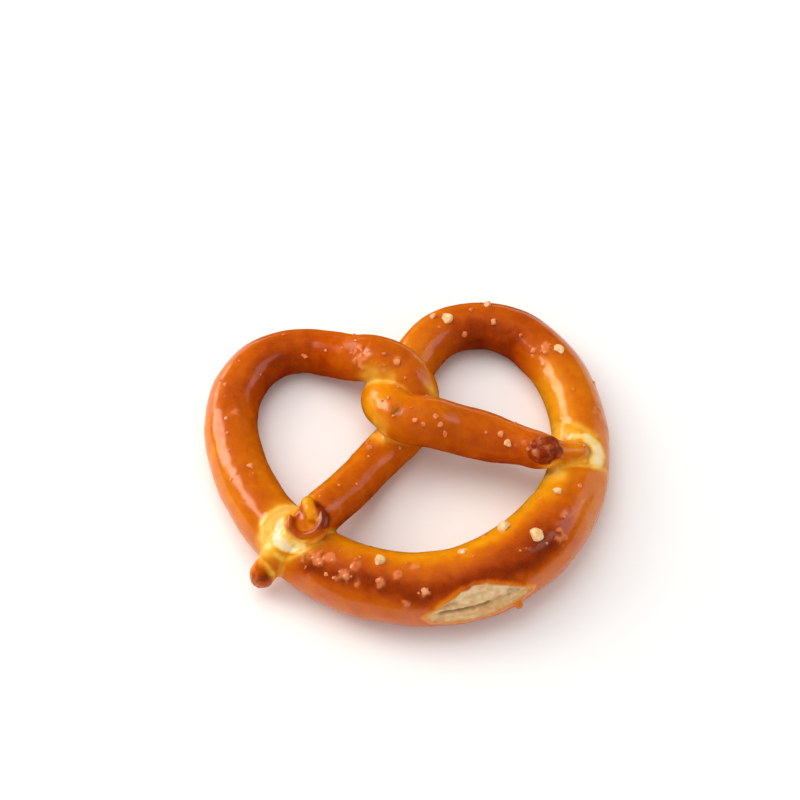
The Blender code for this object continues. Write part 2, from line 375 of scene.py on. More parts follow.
def roll(name, points, radii, tree, material):
    """A closed round skin along the points, made by the tree."""
    data = bpy.data.curves.new(name, "CURVE")
    data.dimensions = "3D"
    data.twist_mode = "Z_UP"
    spline = data.splines.new("POLY")
    spline.points.add(len(points) - 1)
    for point, place, radius in zip(spline.points, points, radii):
        point.co = (*(place * MM), 1.0)
        point.radius = radius * MM
    rolled = run_tree(new_object(name, data), tree, {"Sides": ROPE_SIDES, "Material": material})
    print(name, "faces:", len(rolled.data.polygons))
    return rolled


lye_crust = bpy.data.materials.new("lye_crust")
rope_tree = rolled_rope_tree()
dough = [
    roll("rope", path, path_radii, rope_tree, lye_crust),
    roll("lip", *lip_line(), rope_tree, lye_crust),
    roll("curl", smooth_path(CURL), smooth_radii(CURL), rope_tree, lye_crust),
]

# %% [markdown]
# ## Melting it together
#
# Where strands touch, rising dough grows into one skin with a soft crease. A boolean union would
# leave creases as sharp as a knife's and fails on a rope that crosses itself. A voxel remesh takes
# the outer skin of everything at once, and a little smoothing rounds the creases as rising does.
# The knob at the right arm's end, where the baker pinched the dough off, is a ball added to it, and
# so is the burned crumb that hangs below the split.

# %% Melt the dough
KNOB_PLACE = (49.0, -8.3, 25.0)
KNOB_RADIUS = 5.6
HANGING_PLACE = (34.1, -62.3, 12.4)
HANGING_RADIUS = 1.6
MELT_VOXEL = 0.73
MELT_SMOOTHING = 3


def triangle_count(mesh):
    """How many triangles the mesh comes to."""
    mesh.calc_loop_triangles()
    return len(mesh.loop_triangles)


def mesh_from(shape, name):
    """A mesh of this name from a bmesh, which is freed."""
    mesh = bpy.data.meshes.new(name)
    shape.to_mesh(mesh)
    shape.free()
    return mesh


def ball(name, place, radius):
    """A ball of dough."""
    shape = bmesh.new()
    move = Matrix.Translation(Vector(place) * MM)
    bmesh.ops.create_icosphere(shape, subdivisions=4, radius=radius * MM, matrix=move)
    return new_object(name, mesh_from(shape, name))


def melt(things, name):
    """One skin round all the things, which are removed."""
    shape = bmesh.new()
    for thing in things:
        shape.from_mesh(thing.data)
        bpy.data.objects.remove(thing)
    melted = new_object(name, mesh_from(shape, name))
    melted.data.materials.append(lye_crust)
    remesh = melted.modifiers.new("melt", "REMESH")
    remesh.mode = "VOXEL"
    remesh.voxel_size = MELT_VOXEL * MM
    soften = melted.modifiers.new("soften", "SMOOTH")
    soften.iterations = MELT_SMOOTHING
    return apply_modifiers(melted)


dough.append(ball("knob", KNOB_PLACE, KNOB_RADIUS))
dough.append(ball("hanging_crumb", HANGING_PLACE, HANGING_RADIUS))
crust = melt(dough, "crust")
print("crust triangles:", triangle_count(crust.data))

# %% [markdown]
# ## Reading the surface
#
# Relief and browning both follow the dough, not the room: they ask how far along the rope a spot
# lies, whether it faces up, out or into a hole, and how near the next strand is. These numbers are
# worked out once for every vertex. The nearest strand is the one whose skin, not whose middle, is
# nearest, so that a thin arm on a thick belly still owns its own side of the crease.

# %% Read places on the rope
OTHER_STRAND_FROM = 30.0  # spots further apart than this along the rope are on two strands
CHUNK = 4000  # vertices measured at a time, to save memory


def read_vertices(mesh, what):
    """A vector for each vertex of the mesh, as one row each."""
    flat = np.empty(len(mesh.vertices) * 3)
    mesh.vertices.foreach_get(what, flat)
    return flat.reshape(-1, 3)


def skin_distances(points):
    """How far each point lies outside each of the rope's samples, in mm."""
    squares = (points**2).sum(1)[:, None] + (path**2).sum(1)[None] - 2 * points @ path.T
    return np.sqrt(np.maximum(squares, 0)) - path_radii[None]


def read_rope(points):
    """For each point, the nearest sample of the rope and the gap to the nearest other strand."""
    nearest = np.empty(len(points), int)
    gap = np.empty(len(points))
    for start in range(0, len(points), CHUNK):
        part = slice(start, start + CHUNK)
        distances = skin_distances(points[part])
        best = distances.argmin(1)
        apart = np.abs(path_along[None] - path_along[best][:, None])
        distances[apart < OTHER_STRAND_FROM] = np.inf
        nearest[part] = best
        gap[part] = distances.min(1)
    return nearest, gap


def ramp(values, start, end):
    """A smooth step from 0 at start to 1 at end, which may lie either way round."""
    share = np.clip((values - start) / (end - start), 0, 1)
    return share * share * (3 - 2 * share)


def lumps(points, size, seed):
    """Soft random lumps about size mm across, from -1 to 1, at each point."""
    shift = Vector((17.3, 5.1, 9.7)) * seed
    return np.array([noise.noise(Vector(point) / size + shift) for point in points.tolist()])


spots = read_vertices(crust.data, "co") / MM
nearest, strand_gap = read_rope(spots)
forward = path_forward[nearest]
out = spots - path[nearest]
along = path_along[nearest] + (out * forward).sum(1)
out /= np.linalg.norm(out, axis=1)[:, None]
sideways = np.cross([0.0, 0.0, 1.0], forward)
sideways /= np.linalg.norm(sideways, axis=1)[:, None]
upwards = np.cross(forward, sideways)
height = (out * upwards).sum(1)  # 1 on top of the rope, 0 level with its middle
inward = (out * sideways).sum(1)  # 1 on the rope's left, which on the loop is its inner side
print("vertices:", len(spots), "near another strand:", int((strand_gap < 2).sum()))

# %% [markdown]
# ## Folds
#
# Where a strand was pressed onto another, the dough folded and stretched, and that skin came up
# only after the lye bath, so it baked gold or cream. One pale patch, on the ring below the right
# arm's knob, is a painted highlight instead. Each fold is a short line in plan with a half-width,
# a lift (below zero is a groove) and a paleness. One table makes it easy to move a fold against
# the reference, and one loop presses them all into the skin.

# %% Press the folds
# Points in plan, half-width, lift, paleness from 0 to 1 (1 is cream)
FOLDS_AND_HIGHLIGHT = (
    # Right end: the crease above the stub, the hook of torn dough round it, the crease below it
    (((54.2, 8.2), (57.5, 6.6), (61.0, 4.6), (65.0, 1.6), (68.6, -0.8)), 1.3, -0.35, 0.38),
    (((52.6, 3.6), (54.6, 1.6)), 2.6, 0.0, 0.46),
    (((56.0, 3.8), (59.5, 1.6), (62.0, 0.4)), 2.2, 0.15, 0.36),
    (((59.8, -0.4), (62.6, -1.3), (65.6, -2.3)), 0.9, 0.35, 0.78),
    (((65.6, -2.3), (68.0, -4.8), (68.7, -8.2), (67.4, -11.6)), 2.1, 0.45, 0.86),
    (((51.0, -13.4), (55.0, -13.2), (58.7, -13.4), (62.7, -13.6), (66.0, -14.2)), 0.8, -0.50, 0.34),
    (((66.0, -14.2), (70.9, -13.3)), 0.9, -0.25, 0.34),
    # A painted highlight on the ring's inner edge below the knob, made with paleness
    (((50.2, -14.6), (53.2, -16.6)), 2.6, 0.0, 0.52),
    # Left end: a pale band with two ridges and a groove, the torn dough's lower rim, the nub's crease
    (((-41.4, -20.6), (-47.2, -23.0), (-51.6, -27.0), (-53.4, -32.0), (-52.6, -38.0)), 2.9, 0.0, 0.52),
    (((-41.0, -19.2), (-46.9, -21.4), (-51.4, -24.0), (-54.6, -27.6)), 1.1, 0.30, 0.54),
    (((-43.6, -21.9), (-48.0, -24.9), (-51.2, -28.4), (-51.9, -33.0)), 1.3, -0.28, 0.50),
    (((-54.2, -28.6), (-54.4, -33.0), (-53.2, -37.6)), 1.3, 0.30, 0.58),
    (((-52.4, -38.8), (-48.0, -41.4), (-43.8, -41.6), (-39.6, -40.2), (-35.4, -38.4)), 0.9, 0.15, 0.40),
    (((-57.0, -37.5), (-55.6, -40.5), (-53.0, -43.6), (-50.0, -46.2)), 0.8, -0.40, 0.42),
    # Knot: the glow beside the crease, the yellow corner right of it, the left arm's root
    (((-14.0, 29.2), (-10.8, 28.4), (-7.6, 26.8), (-5.0, 25.6)), 2.3, 0.0, 0.48),
    (((10.1, 22.1), (12.4, 20.4)), 2.0, 0.0, 0.42),
    (((-12.0, 9.4), (-9.2, 5.8)), 1.9, 0.0, 0.40),
)
FOLDS_ABOVE = 9.0  # folds lie on top of the dough, above this height
FOLD_WANDER = 0.5  # how far a fold strays from its line
TORN_PALENESS = 0.6  # skin torn as pale as this has a sharp edge, and gold fades softly


def line_distance(points, line):
    """Each point's distance in its first two coordinates from a line of several pieces."""
    best = np.full(len(points), np.inf)
    for start, end in zip(np.array(line), np.array(line)[1:]):
        run = end - start
        share = np.clip((points[:, :2] - start) @ run / (run @ run), 0, 1)
        distance = np.linalg.norm(points[:, :2] - start - share[:, None] * run, axis=1)
        best = np.minimum(best, distance)
    return best


def press_folds():
    """The lift of each vertex by the folds, and how pale they leave it."""
    lift = np.zeros(len(spots))
    pale = np.zeros(len(spots))
    on_top = ramp(spots[:, 2], FOLDS_ABOVE - 3, FOLDS_ABOVE + 1)
    wander = lumps(spots, 3.0, 41) * FOLD_WANDER
    for line, half_width, rise, paleness in FOLDS_AND_HIGHLIGHT:
        across = (line_distance(spots, line) + wander) / half_width
        lift += rise * np.exp(-(across**2)) * on_top
        fading = 4 if paleness > TORN_PALENESS else 2
        pale = np.maximum(pale, paleness * np.exp(-(np.abs(across / 1.2) ** fading)) * on_top)
    return lift, pale


fold_lift, fold_and_highlight_pale = press_folds()
print("folds:", len(FOLDS_AND_HIGHLIGHT), "vertices they touch:", int((fold_and_highlight_pale > 0.1).sum()))

# %% [markdown]
# ## The torn crescent
#
# Beside the rolled lip the skin tore open when the arm was pressed down, and a crescent of cream
# dough shows. Its outline in plan is a short closed line, and the signed distance from that line
# says how far inside a spot lies. Torn dough is stringy, so fine ridges run along it.

# %% Tear the crescent
TORN_OUTLINE = (
    (-46.2, -25.2),
    (-48.6, -26.2),
    (-50.6, -29.5),
    (-51.4, -33.0),
    (-50.9, -37.4),
    (-48.4, -39.4),
    (-43.8, -40.0),
    (-38.8, -38.9),
    (-35.6, -37.4),
    (-38.4, -36.2),
    (-43.0, -35.6),
    (-45.8, -33.0),
    (-46.9, -29.4),
)
TORN_ABOVE = 14.0
TORN_WANDER = 0.5  # how far the tear strays from its outline
TEAR_GLOW_REACH = 3.6  # the skin round the tear is golden this far
STREAK_WIDE = 0.9  # across the streaks, which run round the lip
STREAK_LONG = 7.0
HOLLOW_REACH = 3.2  # of the lip's inside
LIP_HEIGHTS = (22.0, 24.5)  # where the lip and the curl rise out of the arm


def outline_distance(points, outline):
    """Signed distance from a closed outline in the first two coordinates, below zero inside."""
    closed = np.array([*outline, outline[0]])
    inside = np.zeros(len(points), bool)
    for (ax, ay), (bx, by) in zip(closed, closed[1:]):
        crosses = (ay > points[:, 1]) != (by > points[:, 1])
        if ay != by:
            reach = (bx - ax) * (points[:, 1] - ay) / (by - ay) + ax
            inside ^= crosses & (points[:, 0] < reach)
    distance = line_distance(points, closed)
    return np.where(inside, -distance, distance)


from_tear = outline_distance(spots, TORN_OUTLINE) + lumps(spots, 3.5, 43) * TORN_WANDER
torn = ramp(from_tear, 0.5, -0.6) * ramp(spots[:, 2], TORN_ABOVE, TORN_ABOVE + 3)
tear_glow = np.exp(-((np.maximum(from_tear, 0) / TEAR_GLOW_REACH) ** 2)) * ramp(spots[:, 2], 8.0, 12.0)
from_lip = np.linalg.norm(spots[:, :2] - LIP_PLACE[:2], axis=1)
round_lip = np.arctan2(spots[:, 1] - LIP_PLACE[1], spots[:, 0] - LIP_PLACE[0]) * LIP_RADIUS
pulled = np.stack([from_lip / STREAK_WIDE, round_lip / STREAK_LONG, spots[:, 2] / STREAK_LONG], axis=1)
streaks = lumps(pulled, 1.0, 44)
hollow = ramp(from_lip, HOLLOW_REACH + 0.8, HOLLOW_REACH - 0.8) * ramp(spots[:, 2], 20.0, 22.0)
raised = ramp(spots[:, 2], *LIP_HEIGHTS)
on_curl = ramp(line_distance(spots, [station[:2] for station in CURL]), 2.8, 1.4) * raised
lip_ring = ramp(np.abs(from_lip - LIP_RADIUS), 3.2, 1.4) * raised * (1 - on_curl)
print("torn vertices:", int((torn > 0.5).sum()), "lip vertices:", int((lip_ring > 0.5).sum()))

# %% [markdown]
# ## The split in the belly
#
# Steam bursts the crust where it is weakest, on the outer side of the thick belly, and shows the
# crumb. Its leaf shape is drawn on the unrolled flank: millimetres along the belly, and degrees
# round it. Inside the outline the skin sinks a little and turns rough, just outside it the crust's
# torn edge stands up, and one long crack runs under a smooth flap of stretched dough.

# %% Tear the split open
SPLIT_PLACE = (15.5, -52.0)
SPLIT_OUTLINE = (
    (-14.6, 15),
    (-11.6, 27),
    (-7.6, 42),
    (-3.2, 55),
    (1.0, 60),
    (5.0, 58),
    (10.4, 44),
    (14.4, 28),
    (17.6, 15),
    (13.6, 9),
    (8.8, 3),
    (2.7, -3),
    (-6.6, -4),
    (-12.4, 1),
)
SPLIT_DEPTH = 0.9
SPLIT_REACH = 24  # mm either way along the belly
SPLIT_RIM = 0.28  # height of the torn edge
SPLIT_WANDER = 0.45  # how far the edge strays from its outline
CRACK_WANDER = 0.5  # how far a crack strays from its line
FLAP_EDGE = 24  # degrees round the belly, above which the flap lies
# Points along and round the belly, half-width, depth
CRACKS = (
    (((-10.0, 16), (-8.2, 20), (-3.6, 22), (1.2, 22), (4.4, 23)), 1.0, 0.85),
    (((4.4, 23), (8.0, 27), (12.2, 25)), 0.9, 0.4),
    (((-9.6, 31), (-7.2, 37), (-5.0, 38)), 1.0, 0.35),
    (((-2.0, 44), (2.6, 46)), 0.9, 0.2),
    (((11.0, 34), (13.6, 26)), 1.0, 0.35),
)


def tear_split():
    """The split's lift of each vertex, bare crumb, crack depth, rim, and how far up the flap."""
    middle = np.linalg.norm(path[:, :2] - SPLIT_PLACE, axis=1).argmin()
    degree = np.radians(1.0) * path_radii[middle]
    rise = np.arctan2(height, -inward) * path_radii[middle]
    flat = np.stack([along - path_along[middle], rise], axis=1)
    near = (np.abs(flat[:, 0]) < SPLIT_REACH) & (strand_gap > 8) & (inward < 0.3)
    here, rough = flat[near], spots[near]
    outline = [(x, angle * degree) for x, angle in SPLIT_OUTLINE]
    edge = outline_distance(here, outline) + lumps(rough, 2.2, 51) * SPLIT_WANDER
    bare = ramp(edge, 0.35, -0.35)
    below = ramp(here[:, 1] / degree - FLAP_EDGE + here[:, 0] * 0.2, 6, -6)
    crumb = lumps(rough, 2.4, 52) * 0.16 + lumps(rough, 1.1, 53) * 0.12 * (0.4 + below)
    wander = CRACK_WANDER * lumps(rough, 1.6, 54)
    cracks = np.zeros(len(here))
    depth = np.zeros(len(here))
    for line, half_width, deep in CRACKS:
        across = line_distance(here, [(x, angle * degree) for x, angle in line])
        crack = np.exp(-(((across + wander) / half_width) ** 2)) * bare
        cracks = np.maximum(cracks, crack * min(1.0, deep + 0.2))
        depth = np.maximum(depth, crack * deep)
    lift = bare * crumb - SPLIT_DEPTH * ramp(edge, 0.2, -1.1) - depth
    lift += SPLIT_RIM * np.exp(-(((edge - 0.7) / 0.6) ** 2)) - 0.25 * bare * below
    results = np.zeros((5, len(spots)))
    results[:, near] = (lift, bare, cracks, ramp(np.abs(edge - 0.6), 1.6, 0.2), 1 - below)
    return results


split_lift, bare_crumb, crack_share, split_rim, flap = tear_split()
print("crumb vertices:", int((bare_crumb > 0.5).sum()))

# %% [markdown]
# ## Lumps, wrinkles and the pinched knob
#
# Hand-rolled dough is never an even tube. Soft lumps of three sizes make it uneven, the knob's skin
# shrank into deep wrinkles as it burned, flakes of skin came up where fingers touched the dough, and
# small pits are left where bubbles burst.

# %% Shape the skin
LUMPS = ((16.0, 0.42, 61), (7.0, 0.13, 62), (3.2, 0.035, 63))  # size, lift, seed
PIT_DEPTH = 0.3
FLAKE_LIFT = 0.35
KNOB_LIFT = 0.35
KNOB_FOLD_DEPTH = 0.9
NUB_FOLD_DEPTH = 0.8
HOLLOW_FOLD_DEPTH = 0.15
TEAR_DEPTH = 0.35
TEAR_STREAKS = 0.30
KNOB_MIDDLE = (48.6, -8.9, 27.2)
KNOB_REACH = 6.6
NUB = (-57.4, -44.6, 12.4, 4.2)  # the left arm's wrinkled tip: x, y, z, reach
# Places where handling left the skin rough and blistered: x, y, z, reach
ROUGH_PLACES = (
    (-38.6, -42.3, 22.4, 3.0),
    (-35.5, -43.8, 22.9, 2.6),
    (-31.0, -44.2, 23.6, 2.0),
    (-26.6, -51.5, 23.8, 2.8),
    (-22.4, -53.7, 22.9, 1.6),
    (-22.3, -47.8, 24.1, 2.0),
    (-13.9, -55.6, 23.7, 1.9),
    (-7.8, -53.4, 24.6, 1.6),
    (-1.9, -50.4, 24.5, 1.6),
    (0.3, -60.0, 24.4, 2.1),
    (-5.7, -62.1, 21.0, 1.3),
    (-14.5, 36.6, 27.2, 3.8),
    (-14.8, 32.5, 24.4, 1.6),
    (-7.4, 30.0, 26.9, 2.2),
    (-1.5, 31.5, 29.3, 1.8),
    (50.5, 39.4, 17.0, 2.4),
    (54.6, 38.8, 18.4, 2.4),
    (52.1, -33.7, 24.9, 1.6),
    (50.5, -42.0, 23.9, 2.2),
    (-62.0, 20.0, 19.0, 1.8),
)
# Small burst bubbles: x, y, z, radius, strength
PITS = (
    (-3.6, 9.4, 29.6, 2.4, 1.2),
    (-49.8, -35.7, 22.8, 0.7, 0.9),
    (-66.5, 12.0, 17.5, 0.8, 0.5),
    (49.4, 28.0, 16.5, 0.9, 0.7),
    (50.5, -42.5, 23.7, 1.8, 0.5),
    (47.0, -39.4, 25.8, 1.4, 0.4),
)


def nearness(place):
    """From 0 far from a place, given with its reach, to 1 at it."""
    return np.exp(-((np.linalg.norm(spots - place[:3], axis=1) / place[3]) ** 2))


def folds_of_skin(points, size, seed):
    """Wrinkles: 1 in narrow valleys, 0 on the soft folds between them."""
    return np.clip(1 - np.abs(lumps(points, size, seed)) * 4, 0, 1) ** 1.5


def rough_share():
    """From 0 on even skin to 1 in the middle of a rough place."""
    share = np.zeros(len(spots))
    for *place, reach in ROUGH_PLACES:
        distance = np.linalg.norm(spots - place, axis=1)
        share = np.maximum(share, np.clip(1.5 - distance / reach, 0, 1))
    return share


knob_distance = np.linalg.norm(spots - KNOB_MIDDLE, axis=1) + lumps(spots, 4.0, 64) * 1.8
burned = ramp(knob_distance, KNOB_REACH, KNOB_REACH - 1.4) * ramp(spots[:, 2], 21.0, 24.5)
knob_folds = np.maximum(folds_of_skin(spots, 4.4, 65), 0.5 * folds_of_skin(spots, 2.6, 66))
nub_folds = nearness(NUB) * folds_of_skin(spots, 3.6, 67)
rough_skin = rough_share()
ragged_skin = rough_skin + 1.2 * lumps(spots, 2.8, 72) + 0.8 * lumps(spots, 1.4, 73)
flakes = ramp(ragged_skin, 0.50, 1.15) * ramp(rough_skin, 0.0, 0.3)
pits = np.max([strength * nearness(place) for *place, strength in PITS], axis=0)
pits *= 0.6 + 0.8 * folds_of_skin(spots, 1.6, 69)
lift = fold_lift + split_lift - PIT_DEPTH * pits - NUB_FOLD_DEPTH * nub_folds + FLAKE_LIFT * flakes
for size, amount, seed in LUMPS:
    lift += amount * lumps(spots, size, seed) * (1 - 0.7 * bare_crumb)
lift += burned * (KNOB_LIFT - KNOB_FOLD_DEPTH * knob_folds)
lift += torn * (TEAR_STREAKS * streaks - TEAR_DEPTH)
lift -= HOLLOW_FOLD_DEPTH * hollow * folds_of_skin(spots, 2.5, 68)
normals = read_vertices(crust.data, "normal")
spots += normals * lift[:, None]
spots[:, 2] = np.maximum(spots[:, 2], 0)
crust.data.vertices.foreach_set("co", (spots * MM).ravel())
crust.data.update()
print("relief, mm:", round(float(lift.min()), 2), "to", round(float(lift.max()), 2))

# %% [markdown]
# ## Blisters
#
# Lye crust is covered with tiny blisters, thickest where the dough was handled. They follow a
# surface and repeat, so Geometry Nodes make them: points are scattered on the skin where an
# attribute asks for them, most of them on the rough places found above, each with a radius of its
# own, and every vertex near a point is pushed out by a soft dome. The seed is fixed, so each run
# gives the same blisters.

# %% Raise blisters with Geometry Nodes
BLISTER_SEED = 12
BLISTER_DENSITY = 0.30  # at most, for each square mm
BLISTER_SMALL = 0.8
BLISTER_LARGE = 2.0
BLISTER_DOME = 0.20  # height, as a share of the radius


def store(mesh, name, values):
    """Stores one number for each vertex of the mesh."""
    kept = mesh.attributes.new(name, "FLOAT", "POINT")
    kept.data.foreach_set("value", np.asarray(values, np.float32))


def blister_rate():
    """Where blisters grow: a few everywhere on top, many on the rough places."""
    everywhere = 0.02 * ramp(height, 0.0, 0.8) * (0.4 + ramp(lumps(spots, 9.0, 71), -0.2, 0.5))
    return np.clip((everywhere + rough_skin) * (1 - bare_crumb) * (1 - torn), 0, 1)


def blister_tree():
    """Scatters points by an attribute and pushes the skin out round each of them."""
    tree, given = geometry_tree(
        "blisters", Density="Float", Smallest="Float", Largest="Float", Dome="Float", Seed="Int"
    )
    node = partial(add_node, tree)
    place = node("GeometryNodeInputPosition")
    normal = node("GeometryNodeInputNormal")

    # Points where the attribute asks for them, each with a radius
    rate = node("GeometryNodeInputNamedAttribute", {"Name": "blister_rate"})
    density = node("ShaderNodeMath", {0: rate, 1: given["Density"]}, operation="MULTIPLY")
    scattered = node(
        "GeometryNodeDistributePointsOnFaces",
        {"Mesh": given["Geometry"], "Density": density, "Seed": given["Seed"]},
    )
    radius = node(
        "FunctionNodeRandomValue",
        {2: given["Smallest"], 3: given["Largest"], "Seed": given["Seed"]},
        data_type="FLOAT",
    )
    centres = node(
        "GeometryNodeStoreNamedAttribute",
        {"Geometry": scattered, "Name": "reach", "Value": radius.outputs[1]},
        data_type="FLOAT",
        domain="POINT",
    )

    # For each vertex, the nearest point and how far out of its radius the vertex lies
    closest = node(
        "GeometryNodeSampleNearest", {"Geometry": centres, "Sample Position": place}, domain="POINT"
    )
    stored = node("GeometryNodeInputNamedAttribute", {"Name": "reach"})
    centre, reach = (
        node(
            "GeometryNodeSampleIndex",
            {"Geometry": centres, "Value": value, "Index": closest},
            data_type=kind,
            domain="POINT",
        )
        for value, kind in ((place, "FLOAT_VECTOR"), (stored, "FLOAT"))
    )
    distance = node("ShaderNodeVectorMath", {0: place, 1: centre}, operation="DISTANCE")
    share = node("ShaderNodeMath", {0: distance.outputs["Value"], 1: reach}, operation="DIVIDE")
    dome = node(
        "ShaderNodeMapRange",
        {"Value": share, "From Min": 1.0, "From Max": 0.0},
        interpolation_type="SMOOTHERSTEP",
    )

    # The push along the normal, and a mark that the browning reads
    rise = node("ShaderNodeMath", {0: dome, 1: reach}, operation="MULTIPLY")
    amount = node("ShaderNodeMath", {0: rise, 1: given["Dome"]}, operation="MULTIPLY")
    push = node("ShaderNodeVectorMath", {0: normal, "Scale": amount}, operation="SCALE")
    moved = node("GeometryNodeSetPosition", {"Geometry": given["Geometry"], "Offset": push})
    marked = node(
        "GeometryNodeStoreNamedAttribute",
        {"Geometry": moved, "Name": "blister", "Value": dome},
        data_type="FLOAT",
        domain="POINT",
    )
    return end_tree(tree, given, marked)


store(crust.data, "blister_rate", blister_rate())
blister_inputs = {
    "Density": BLISTER_DENSITY / MM**2,
    "Smallest": BLISTER_SMALL * MM,
    "Largest": BLISTER_LARGE * MM,
    "Dome": BLISTER_DOME,
    "Seed": BLISTER_SEED,
    "Material": lye_crust,
}
crust = run_tree(crust, blister_tree(), blister_inputs)
crust.data.attributes.remove(crust.data.attributes["blister_rate"])
spots = read_vertices(crust.data, "co") / MM
blister = np.empty(len(spots), np.float32)
crust.data.attributes["blister"].data.foreach_get("value", blister)
print("vertices on blisters:", int((blister > 0.1).sum()))

# %% [markdown]
# ## Browning
#
# An oven browns what lies near its heat and leaves the rest golden, so each stretch of the rope
# comes out differently: the belly darkest just outside its top, its inner side golden, the right
# strand golden all round. The lobes' inner sides are dark, partly from browning and partly as
# painted shade. The browning, painted shade included, is a number for each vertex, from 0 for
# pale dough to 1 for dark chestnut, and the material only looks up a colour for it. It is set for a
# few stretches on top of the rope, with a change towards either side. Soft lumps make it patchy,
# and a table names darker and lighter spots; among them, the dark spots on the lobes' inner flanks
# are painted shade, and the one beside the largest salt grain is partly its painted shadow.

# %% How each stretch and place is baked
# Mm along the rope, browning on top, change to the inner side, change to the outer side
BAKED_AND_SHADED = (
    (45, 0.60, -0.18, 0.06),  # left arm
    (105, 0.62, -0.11, -0.15),  # left strand in the twist
    # Left lobe, far side: the darker inner side is partly painted shade
    (175, 0.69, 0.18, -0.10),  # left lobe, far side
    (225, 0.57, -0.06, -0.16),  # left lobe, left side
    (290, 0.62, -0.27, -0.05),  # belly, left
    (335, 0.63, -0.40, -0.02),  # belly, middle
    (378, 0.58, -0.38, -0.10),  # belly, right
    (405, 0.46, -0.30, -0.04),  # right side
    (440, 0.50, -0.30, -0.04),  # right side, above the arm's end
    # Right lobe: the darker inner side is partly painted shade
    (462, 0.70, 0.14, -0.06),  # right lobe, right side
    (492, 0.64, 0.10, -0.16),  # right lobe, far side
    (525, 0.37, 0.02, 0.00),  # right strand
    (580, 0.63, -0.06, 0.06),  # right arm
)
CROWN_FROM = 262.0  # where the belly's dark crown begins and ends, mm along the rope
CROWN_TO = 372.0
CROWN_TURN = -0.5  # how far outside the top it lies, in radians
CROWN_WIDE = 0.34
CROWN = 0.26
RAGGED = ((12.0, 0.16, 81), (4.0, 0.08, 82))  # how the tones' edges wander: size, reach, seed
PATCHES = ((13.0, 0.05, 83), (5.0, 0.06, 84))  # size, change, seed
LIP_DARKER = 0.32
CURL_LIGHTER = 0.28
RIM_LIGHTER = 0.30
TEAR_LIGHTER = 0.20
# Darker and lighter places, some of them painted shade: x, y, z, reach, change of browning
BROWNED_AND_SHADED = (
    # Partly browning, partly the painted shadow of the largest salt grain
    (44.0, -41.5, 26.0, 8.0, 0.18),
    (33.0, -47.0, 26.5, 8.0, 0.08),
    # Painted shade on the lobes' inner flanks
    (50.0, 32.0, 12.0, 9.0, 0.14),
    (30.0, 48.5, 10.0, 7.0, 0.12),
    (-24.0, 43.0, 10.0, 8.0, 0.12),
    (-11.0, 18.0, 24.0, 6.0, -0.24),
    (-11.0, 12.0, 20.0, 6.0, -0.20),
    (6.0, 42.0, 14.0, 8.0, -0.06),
    (53.0, -18.0, 16.0, 8.0, -0.08),
    (60.0, -7.7, 24.0, 5.0, -0.24),
    (-54.4, -45.0, 13.6, 2.6, 0.34),
    (34.1, -63.0, 12.4, 2.4, 0.20),
)
CREASE_GAP = 2.4  # creases turn golden where the next strand is nearer than this
CREASE_ENDS = (4.0, 17.5, 27.0, 6.0)  # where the knot's crease melts away: x, y, z, reach
# Skin without gloss: x, y, z, reach
DULL_PLACES = ((-27.0, 42.0, 17.0, 15.0), (-46.5, -43.6, 17.5, 5.5), (-54.0, -42.5, 15.0, 7.0))
print("stretches:", len(BAKED_AND_SHADED), "darker and lighter places:", len(BROWNED_AND_SHADED))


# %% Brown the crust
def browning():
    """From 0, pale dough, to 1, dark chestnut, with painted shade on the lobes' inner flanks."""
    places, tops, inner, outer = np.array(BAKED_AND_SHADED).T
    ragged = sum(amount * lumps(spots, size, seed) for size, amount, seed in RAGGED)
    across = inward + ragged
    brown = np.interp(along, places, tops)
    brown += np.interp(along, places, inner) * ramp(across, 0.0, 0.65)
    brown += np.interp(along, places, outer) * ramp(-across, 0.1, 0.85)
    turn = (np.arctan2(inward, height) + ragged - CROWN_TURN) / CROWN_WIDE
    belly = ramp(along, CROWN_FROM - 12, CROWN_FROM + 12) * ramp(along, CROWN_TO + 12, CROWN_TO - 12)
    brown += CROWN * np.exp(-(turn**2)) * belly
    brown += sum(amount * lumps(spots, size, seed) for size, amount, seed in PATCHES)
    for *place, change in BROWNED_AND_SHADED:
        brown += change * nearness(place)
    brown += 0.05 * blister + LIP_DARKER * lip_ring - 0.06 * hollow - CURL_LIGHTER * on_curl
    brown -= RIM_LIGHTER * split_rim * (1 - bare_crumb) + TEAR_LIGHTER * tear_glow
    return np.clip(brown, 0, 1)


def paleness():
    """From 0, browned, to 1, cream: creases, folds, torn dough, and one painted highlight below the
    knob.
    """
    crease = ramp(strand_gap + lumps(spots, 3.0, 85) * 0.8, CREASE_GAP, 0.4)
    crease *= (0.26 + 0.10 * lumps(spots, 8.0, 86)) * (1 - nearness(CREASE_ENDS))
    streaky = torn * (1 - 0.45 * ramp(streaks, 0.0, -0.5))
    folds = fold_and_highlight_pale * (1 + 0.3 * lumps(spots, 2.8, 87))
    pale = np.maximum.reduce([crease, folds, streaky, 0.20 * tear_glow])
    return np.clip(pale * (1 - burned) * (1 - 0.9 * lip_ring), 0, 1)


def shade():
    """Painted shade: dark cracks, pits and wrinkles, and the fine dark line down in each crease."""
    line = 0.45 * ramp(strand_gap, 0.7, 0.1) * (1 - nearness(CREASE_ENDS)) * (1 - lip_ring)
    wrinkles = 0.6 * burned * knob_folds + 0.7 * nub_folds
    return np.clip(crack_share + pits + wrinkles + line, 0, 1)


def gloss():
    """How much of the clear skin is there: dull places, the burned knob and pits have little."""
    shiny = np.prod([1 - nearness(place) for place in DULL_PLACES], axis=0)
    return shiny * (1 - 0.7 * burned) * (1 - np.clip(pits, 0, 1))


